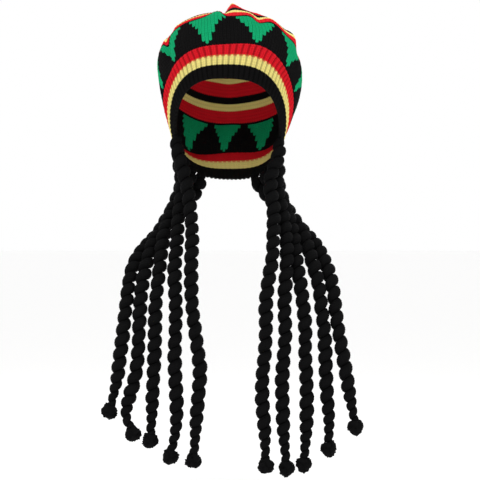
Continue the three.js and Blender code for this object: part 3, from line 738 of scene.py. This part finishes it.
def fabric_group():
    """Colour and height of brushed stretch fabric: fine courses round the lock, runs along it, lint, painted
    shade in the seams and a painted pale sheen of lint on the bulges.
    """
    group, given, result, place, relief, strip = new_group(
        "Brushed jersey", {"Fabric": GREY, "Seam shade": 0.6, "Lint sheen": 0.1}, "strip")
    plus, minus, times = sums(group)
    courses = maths(group, "SINE", times(strip["X"], COURSES))
    runs = maths(group, "SINE", times(strip["Y"], RUNS))
    nap = noise(group, FABRIC_NAP, 4, place, 0.7)
    broad = noise(group, FABRIC_MOTTLES, 3, place)
    # Painted shade in the seams between turns, where the relief is low
    level = minus(1.0, times(minus(1.0, relief), given["Seam shade"]))
    level = plus(level, times(minus(broad, 0.5), 0.5))
    # Painted sheen: a pale grey over the lint on the bulges
    painted_sheen = times(times(nap, relief), given["Lint sheen"])
    shaded = darkened(group, given["Fabric"], level)
    group.links.new(mixed(group, painted_sheen, shaded, FABRIC_LINT_SHEEN), result["Colour"])
    height = plus(plus(times(courses, 0.12), times(runs, 0.1)), times(nap, 0.9))
    group.links.new(height, result["Height"])
    group.links.new(maths(group, "MULTIPLY_ADD", nap, 0.1, 0.82), result["Roughness"])
    return group


def finish_material(name, group, values, sheen):
    """A material with the colour, height and roughness of a group, and plain values for the rest."""
    material = bpy.data.materials.new(name)
    material.use_nodes = True
    tree = material.node_tree
    shader = tree.nodes["Principled BSDF"]
    effect = tree.nodes.new("ShaderNodeGroup")
    effect.node_tree = group
    bump = tree.nodes.new("ShaderNodeBump")
    plain = {**FIBRE, "Sheen Weight": sheen[0], "Sheen Tint": sheen[1]}
    for node, chosen in ((effect, values), (bump, BUMP), (shader, plain)):
        for key, value in chosen.items():
            node.inputs[key].default_value = value
    for output, socket in (
            (effect.outputs["Height"], bump.inputs["Height"]),
            (bump.outputs["Normal"], shader.inputs["Normal"]),
            (effect.outputs["Colour"], shader.inputs["Base Color"]),
            (effect.outputs["Roughness"], shader.inputs["Roughness"])):
        tree.links.new(output, socket)
    return material


def group_named(name, build):
    return bpy.data.node_groups.get(name) or build()


def yarn_material(knit, colour, neighbour=None):
    name = "knitted_" + colour + ("_beside_" + neighbour if neighbour else "")
    if name in bpy.data.materials:
        return bpy.data.materials[name]
    main = (*getattr(knit, colour), 1)
    other = (*getattr(knit, neighbour), 1) if neighbour else main
    values = {"Yarn": main, "Neighbour yarn": other}
    if colour == "black":
        values |= BLACK_YARN
        sheen = BLACK_SHEEN
    else:
        values |= BRIGHT_YARN
        tint = (*(min(1, BRIGHT_SHEEN_LIFT + part) for part in main[:3]), 1)
        sheen = (BRIGHT_SHEEN_WEIGHT, tint)
    return finish_material(name, group_named("Knitted yarn", yarn_group), values, sheen)


def lock_material(locks):
    return finish_material(
        "brushed_jersey", group_named("Brushed jersey", fabric_group),
        {"Fabric": (*locks.colour, 1), **LOCK_FABRIC}, FABRIC_SHEEN)


# Locks and knots

# Seat of a lock: depth of the middle of the hem's wall, drop below it, length of the straight lead
HEM_MIDDLE, SEAT_DROP, LEAD_LENGTH = 2.3, 1.2, 9.6
# Curve points between two points of a route, millimetres from ring to ring, points round a ring
CURVE_POINTS, ROPE_STEP, ROPE_AROUND = 24, 1.1, 24
# Near the knot turns are closer and the roll is thinner: how much, from and to how far before it
CLOSER, CLOSER_FROM, CLOSER_TO = 0.4, 55, 15
THINNER, THINNER_FROM, THINNER_TO = 0.34, 50, 4
# Share of its width that a lock has at the rim, and the length over which it widens
RIM_SHARE, RIM_WIDENING = 0.72, 14
# Unevenness of the turns, in radians at a few places along a lock
TURN_SPREAD, TURN_PLACES = 0.3, 9
# Millimetres that the closed ends stand out at the rim and at the knot, and the relief at their tips, which
# the material turns into painted shade
RIM_CAP, KNOT_CAP, CAP_SHADE_RELIEF = 0.6, 1.5, 0.2
# Knots as shares of their width: strand, ring, winding, and the middle below the end of the lock
KNOT_STRAND, KNOT_RING, KNOT_WINDING, KNOT_DROP = 0.25, 0.155, 0.1, 0.42
KNOT_STRETCH, KNOT_DEPTH = 1.05, 1.3
KNOT_RINGS, KNOT_AROUND = 110, 12
ROPE_SEED, KNOT_SEED = 40, 80


def rim_down():
    tilt, roll = math.radians(RIM_TILT), math.radians(RIM_ROLL)
    across = np.array([math.cos(roll), 0, -math.sin(roll)])
    back = np.array([0, math.cos(tilt), -math.sin(tilt)])
    down = np.cross(back, across)
    return down / np.linalg.norm(down)


def route_points(angle, points):
    """The given route of a lock, with its seat under the hem and a short lead out of the rim."""
    down = rim_down()
    middle = cap_point(np.array(float(angle)), np.array(0.0), np.array(-HEM_MIDDLE))
    seat = middle + down * SEAT_DROP
    return np.array([seat, seat + down * LEAD_LENGTH, *points], float)


def between(t, first, last, low, high):
    return first * (high - t) / (high - low) + last * (t - low) / (high - low)


def smooth_line(points, step):
    """Centripetal curve through the points in even steps, and the length up to each step."""
    padded = np.vstack([2 * points[0] - points[1], points, 2 * points[-1] - points[-2]])
    line = []
    for i in range(len(points) - 1):
        layer = padded[i:i + 4]
        gaps = np.linalg.norm(np.diff(layer, axis=0), axis=1) ** 0.5
        knots = np.concatenate([[0], np.cumsum(gaps)])
        t = np.linspace(knots[1], knots[2], CURVE_POINTS, endpoint=False)[:, None]
        for reach in (1, 2):
            layer = [
                between(t, layer[k], layer[k + 1], knots[k], knots[k + reach]) for k in range(4 - reach)]
        line.append(between(t, *layer, knots[1], knots[2]))
    line = np.vstack([*line, points[-1:]])
    travelled = np.concatenate([[0], np.cumsum(np.linalg.norm(np.diff(line, axis=0), axis=1))])
    count = int(round(travelled[-1] / step)) + 1
    at = np.linspace(0, travelled[-1], count)
    return np.stack([np.interp(at, travelled, line[:, k]) for k in range(3)], axis=1), at


def carried_frames(line):
    """Directions along a line, and two across it that turn as little as they can."""
    tangent = np.gradient(line, axis=0)
    tangent /= np.linalg.norm(tangent, axis=1, keepdims=True)
    first = np.zeros_like(line)
    side = np.array([0.0, -1.0, 0.0])
    for i, heading in enumerate(tangent):
        side = side - heading * side.dot(heading)
        side = side / np.linalg.norm(side)
        first[i] = side
    return tangent, first, np.cross(tangent, first)


def tube_quads(rings, around, closed=False):
    """Faces of a tube; a closed one joins its last ring to its first."""
    index = np.arange(rings * around).reshape(rings, around)
    low = index if closed else index[:-1]
    high = np.roll(index, -1, axis=0)[:len(low)]
    corners = [low, np.roll(low, -1, axis=1), np.roll(high, -1, axis=1), high]
    return np.stack(corners, axis=-1).reshape(-1, 4)


def rope_twist(at, pitch, loose):
    """Turn of the roll along a lock: a little uneven, and closer near the knot."""
    total = at[-1]
    uneven = np.interp(at, np.linspace(0, total, TURN_PLACES), loose.normal(0, TURN_SPREAD, TURN_PLACES))
    closer = 1 + CLOSER * smoothstep(at, total - CLOSER_FROM, total - CLOSER_TO)
    return math.tau / pitch * np.cumsum(closer) * (at[1] - at[0]) + loose.uniform(0, math.tau) + uneven


def rope_fullness(at, loose):
    """Width of a lock along it as a share: less at the rim and at the knot, and a little uneven."""
    total = at[-1]
    full = 1 - THINNER * smoothstep(at, total - THINNER_FROM, total - THINNER_TO)
    full *= RIM_SHARE + (1 - RIM_SHARE) * smoothstep(at, 0, RIM_WIDENING)
    slow = 0.03 * np.sin(at / 23 + loose.uniform(0, 6))
    quick = 0.02 * np.sin(at / 9 + loose.uniform(0, 6))
    return full * (1 + slow + quick)


def rope_creases(at, phase, loose):
    """Millimetres of the shallow creases in the fabric, along the lock and across it."""
    at, phase = at[:, None], phase[None, :]
    wide = 0.16 * np.sin(6 * phase + at / 6 + loose.uniform(0, 6))
    narrow = 0.12 * np.sin(9 * phase - at / 4.1 + loose.uniform(0, 6))
    return wide + narrow


def rope_piece(name, route, locks, seed):
    """A lock as one closed tube: a fat roll of fabric that winds down, with a deep seam between turns."""
    loose = np.random.default_rng(seed)
    line, at = smooth_line(route, ROPE_STEP)
    tangent, first, second = carried_frames(line)
    twist = rope_twist(at, locks.pitch / MM, loose)
    full = rope_fullness(at, loose)
    wide = np.linspace(-np.pi, np.pi, ROPE_AROUND, endpoint=False)
    phase = wide + np.pi
    bulge = np.sqrt(1 - (wide / np.pi) ** 2)
    half = locks.width / MM / 2
    core = half * locks.core
    radius = core + (half - core) * bulge
    turn = wide[None, :] + twist[:, None]
    ring = radius[None, :] * full[:, None] + rope_creases(at, phase, loose) * bulge[None, :]
    points = line[:, None] + ring[..., None] * (
        np.cos(turn)[..., None] * first[:, None] + np.sin(turn)[..., None] * second[:, None])
    points = points.reshape(-1, 3)
    quads = [tube_quads(len(line), ROPE_AROUND)]
    # Relief that the material turns into painted shade in the seam and a painted sheen on the bulges
    relief = np.tile(bulge, len(line))
    strip = np.stack(
        [np.tile(phase, len(line)), np.repeat(at * MM, ROPE_AROUND), np.zeros(len(points))], axis=1)
    fan = (np.arange(0, ROPE_AROUND, 2)[:, None] + np.arange(3)) % ROPE_AROUND
    last_fan = fan + (len(line) - 1) * ROPE_AROUND
    rim_end, knot_end = line[0] - tangent[0] * RIM_CAP, line[-1] + tangent[-1] * KNOT_CAP
    for end, ring_points in ((rim_end, fan[:, ::-1]), (knot_end, last_fan)):
        quads.append(np.insert(ring_points, 0, len(points), axis=1))
        points = np.vstack([points, end])
        relief = np.append(relief, CAP_SHADE_RELIEF)
        strip = np.vstack([strip, [0, 0, 0]])
    obj = new_mesh(name, points * MM, np.concatenate(quads), {"relief": relief, "strip": strip})
    return obj, line * MM, at[-1] * MM


def knot_piece(name, end, heading, locks, seed):
    """A lumpy overhand knot on the end of a lock: one strand wound round itself."""
    size = locks.knot / MM
    loose = np.random.default_rng(seed)
    ring, winding = size * KNOT_RING, size * KNOT_WINDING
    heading = heading / np.linalg.norm(heading)
    side = np.cross(heading, [0.0, 1.0, 0.0])
    side /= np.linalg.norm(side)
    ahead = np.cross(side, heading)
    t = np.linspace(0, math.tau, KNOT_RINGS, endpoint=False)
    spin = loose.uniform(0, math.tau)
    reach = ring + winding * np.cos(3 * t)
    local = np.stack([
        reach * np.cos(2 * t + spin),
        KNOT_STRETCH * reach * np.sin(2 * t + spin),
        -KNOT_STRETCH * winding * KNOT_DEPTH * np.sin(3 * t)], axis=1)
    centre = end + heading * size * KNOT_DROP
    line = centre + local @ np.stack([side, heading, ahead])
    tangent = np.roll(line, -1, axis=0) - np.roll(line, 1, axis=0)
    tangent /= np.linalg.norm(tangent, axis=1, keepdims=True)
    outward = line - centre
    outward -= tangent * np.sum(outward * tangent, axis=1, keepdims=True)
    outward /= np.linalg.norm(outward, axis=1, keepdims=True)
    other = np.cross(tangent, outward)
    phase = np.linspace(0, math.tau, KNOT_AROUND, endpoint=False)
    bumps = 1 + 0.09 * np.sin(5 * phase[None] + 4 * t[:, None])
    bumps += 0.1 * loose.normal(0, 1, (KNOT_RINGS, KNOT_AROUND))
    radius = size * KNOT_STRAND * bumps
    points = line[:, None] + radius[..., None] * (
        np.cos(phase)[None, :, None] * outward[:, None] + np.sin(phase)[None, :, None] * other[:, None])
    points = points.reshape(-1, 3)
    # Relief that the material turns into painted shade on the inner side of the strand and a painted sheen
    # on its outer side
    relief = np.tile(0.55 + 0.45 * np.cos(phase), KNOT_RINGS)
    strip = np.stack([
        np.tile(phase, KNOT_RINGS), np.repeat(t * size * 0.5 * MM, KNOT_AROUND),
        np.zeros(len(points))], axis=1)
    quads = tube_quads(KNOT_RINGS, KNOT_AROUND, closed=True)
    return new_mesh(name, points * MM, quads, {"relief": relief, "strip": strip})


# Operators

# Point at the front of the cap that the camera looks at, and the point that the lamps look at
CAMERA_AIM = (0.01485, -0.04, -0.1498)
LAMP_AIM = Vector((0, 0, -0.05))
SENSOR_WIDTH = 36
# Lamps: name, place, size, power
LAMPS = [
    ("key", (-0.9, -1.9, 1.3), 1.2, 9),
    ("fill", (1.3, -1.7, 0.5), 1.4, 3),
    ("top", (0.1, 0.1, 1.6), 1.2, 4),
    ("back", (0.3, 1.8, 0.7), 1.2, 3),
]
FLOOR_HALF = 60
FLOOR_COLOUR = (0.97, 0.968, 0.965, 1)
FLOOR_ROUGHNESS = 0.8

# Neighbour's colour in the dots and on the pale edge, and how far both reach: wales, then rows
DOT_TINT, DOT_WALES, DOT_ROWS = 0.75, 0.4, 0.4
EDGE_TINT, EDGE_ROWS = 0.45, 0.1


class TAM_OT_studio(bpy.types.Operator):
    """Set the camera, the soft lamps and the pale floor"""

    bl_idname = "tam.studio"
    bl_label = "Studio"

    def execute(self, context):
        studio = context.scene.tam_studio
        camera_data = bpy.data.cameras.new("camera")
        camera_data.sensor_width = SENSOR_WIDTH
        camera_data.lens = SENSOR_WIDTH * studio.distance / studio.view_width
        place = Vector(CAMERA_AIM) - Vector((0, studio.distance, 0))
        context.scene.camera = put_in_scene("camera", camera_data, place, (math.radians(90), 0, 0))

        world = bpy.data.worlds.new("studio")
        world.use_nodes = True
        background = world.node_tree.nodes["Background"]
        background.inputs["Color"].default_value = (1, 1, 1, 1)
        background.inputs["Strength"].default_value = 1.0
        context.scene.world = world
        context.scene.view_settings.view_transform = "Standard"
        for name, place, size, power in LAMPS:
            data = bpy.data.lights.new("lamp_" + name, "AREA")
            data.size = size
            data.energy = power * studio.light
            aim = (LAMP_AIM - Vector(place)).to_track_quat("-Z", "Y").to_euler()
            put_in_scene("lamp_" + name, data, place, aim)

        level = studio.floor_level
        corners = [(-1, -1), (1, -1), (1, 1), (-1, 1)]
        points = np.array([(x * FLOOR_HALF, y * FLOOR_HALF, level) for x, y in corners], float)
        floor = new_mesh("floor", points, [[0, 1, 2, 3]])
        paint = bpy.data.materials.new("floor_paint")
        paint.use_nodes = True
        shader = paint.node_tree.nodes["Principled BSDF"]
        shader.inputs["Base Color"].default_value = FLOOR_COLOUR
        shader.inputs["Roughness"].default_value = FLOOR_ROUGHNESS
        floor.data.materials.append(paint)
        return {"FINISHED"}


class TAM_OT_locks(bpy.types.Operator):
    """Twist the locks and tie the knot on the end of each"""

    bl_idname = "tam.locks"
    bl_label = "Locks and knots"

    def execute(self, context):
        locks = context.scene.tam_locks
        material = lock_material(locks)
        for number, (key, (angle, points)) in enumerate(LOCK_ROUTES.items()):
            route = route_points(angle, points)
            rope, line, length = rope_piece("twisted_lock_" + key, route, locks, ROPE_SEED + number)
            place_piece(rope, material, ["lock_" + key])
            heading = line[-1] - line[-3]
            knot = knot_piece("end_knot_" + key, line[-1] / MM, heading, locks, KNOT_SEED + number)
            place_piece(knot, material, ["knot_" + key])
        return {"FINISHED"}


def knit_piece(knit, zone, name, stitches, colour, node, neighbour=None, edge_tint=None):
    """Knits some stitches of a zone in one colour, in place of one solid."""
    piece = zone.piece(name, stitches, edge_tint)
    place_piece(piece, yarn_material(knit, colour, neighbour), [node])


def lower_zone(knit):
    return KnitZone(knit, LOWER_BANDS, WALES, 0, LOWER_SEED)


class TAM_OT_band(bpy.types.Operator):
    """Knit the ribbed band: black hem, yellow and red rings"""

    bl_idname = "tam.band"
    bl_label = "Ribbed band"

    def execute(self, context):
        knit = context.scene.tam_knit
        zone = lower_zone(knit)
        border = row_count(LOWER_BANDS[:2])

        def dots(place):
            """Red dots in the purl grooves of the last yellow row."""
            from_groove = np.abs(np.mod(place[:, 0] + 1, 2) - 1)
            return DOT_TINT * (from_groove < DOT_WALES) * (place[:, 1] > border - DOT_ROWS)

        def pale_edge(place):
            """Paler yarn along the lower edge of the red ring."""
            return EDGE_TINT * (place[:, 1] < border + EDGE_ROWS)

        hem, yellow, red = (zone.cells(band) for band in ("hem_black", "band_yellow", "band_red"))
        knit_piece(knit, zone, "hem_ribbing", hem, "black", "hem_black")
        knit_piece(knit, zone, "yellow_ribbing", yellow, "yellow", "band_yellow", "red", dots)
        knit_piece(knit, zone, "red_ribbing", red, "red", "band_red", "yellow", pale_edge)
        return {"FINISHED"}


def triangle_stitches(zone, number):
    """The stitches of one triangle: point down, one wale wide at the tip and eleven at the base."""
    chosen = np.zeros((zone.rows, zone.wales), bool)
    first = row_count(LOWER_BANDS[:3]) + 1
    middle = REPEAT_WALES * number + REPEAT_WALES // 2
    for row in range(TRIANGLE_ROWS):
        half = round((row + 0.5) * (TRIANGLE_WALES // 2) / (TRIANGLE_ROWS - 1))
        for wale in range(middle - half, middle + half + 1):
            chosen[first + row, wale % zone.wales] = True
    return chosen


class TAM_OT_zigzag(bpy.types.Operator):
    """Knit the zigzag field: black ground and green triangles"""

    bl_idname = "tam.zigzag"
    bl_label = "Zigzag field"

    def execute(self, context):
        knit = context.scene.tam_knit
        zone = lower_zone(knit)
        ground = zone.cells("field")
        for number in range(TRIANGLES):
            stitches = triangle_stitches(zone, number)
            ground &= ~stitches
            label = f"{number + 1:02d}"
            knit_piece(knit, zone, "triangle_knit_" + label, stitches, "green", "green_triangle_" + label)
        knit_piece(knit, zone, "zigzag_ground", ground, "black", "zigzag_field")
        return {"FINISHED"}


class TAM_OT_top(bpy.types.Operator):
    """Knit the stripes and draw them together at the apex"""

    bl_idname = "tam.top"
    bl_label = "Striped top"

    def execute(self, context):
        knit = context.scene.tam_knit
        above_lower, above_middle = row_count(LOWER_BANDS), row_count(LOWER_BANDS + MIDDLE_BANDS)
        zones = [
            lower_zone(knit),
            KnitZone(knit, MIDDLE_BANDS, WALES // 2, above_lower, MIDDLE_SEED),
            KnitZone(knit, APEX_BANDS, WALES // 4, above_middle, APEX_SEED),
        ]
        for zone in zones:
            for name, _, _, _ in zone.bands:
                if name.startswith(("stripe", "crown")):
                    node = name if name.startswith("stripe") else "gathered_top"
                    colour = name.split("_")[1]
                    knit_piece(knit, zone, "knit_" + name, zone.cells(name), colour, node)
        return {"FINISHED"}


class TAM_PT_sidebar(bpy.types.Panel):
    """Steps that build the tam"""

    bl_label = "Tam"
    bl_idname = "TAM_PT_sidebar"
    bl_space_type = "VIEW_3D"
    bl_region_type = "UI"
    bl_category = "Tam"

    def draw(self, context):
        for step in STEPS:
            self.layout.operator(step.bl_idname)
        for settings in (getattr(context.scene, key) for key in SETTINGS):
            box = self.layout.box()
            for name in settings.bl_rna.properties.keys():
                if name not in {"rna_type", "name"}:
                    box.prop(settings, name)


STEPS = (TAM_OT_studio, TAM_OT_locks, TAM_OT_band, TAM_OT_zigzag, TAM_OT_top)
SETTINGS = {"tam_knit": KnitSettings, "tam_locks": LockSettings, "tam_studio": StudioSettings}
CLASSES = (*SETTINGS.values(), *STEPS, TAM_PT_sidebar)


def register():
    for item in CLASSES:
        bpy.utils.register_class(item)
    for key, settings in SETTINGS.items():
        setattr(bpy.types.Scene, key, bpy.props.PointerProperty(type=settings))


def unregister():
    for key in SETTINGS:
        delattr(bpy.types.Scene, key)
    for item in reversed(CLASSES):
        bpy.utils.unregister_class(item)


def main():
    register()
    bpy.ops.tam.studio()
    bpy.ops.tam.locks()
    bpy.ops.tam.band()
    bpy.ops.tam.zigzag()
    bpy.ops.tam.top()
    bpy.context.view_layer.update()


if __name__ == "__main__":
    main()
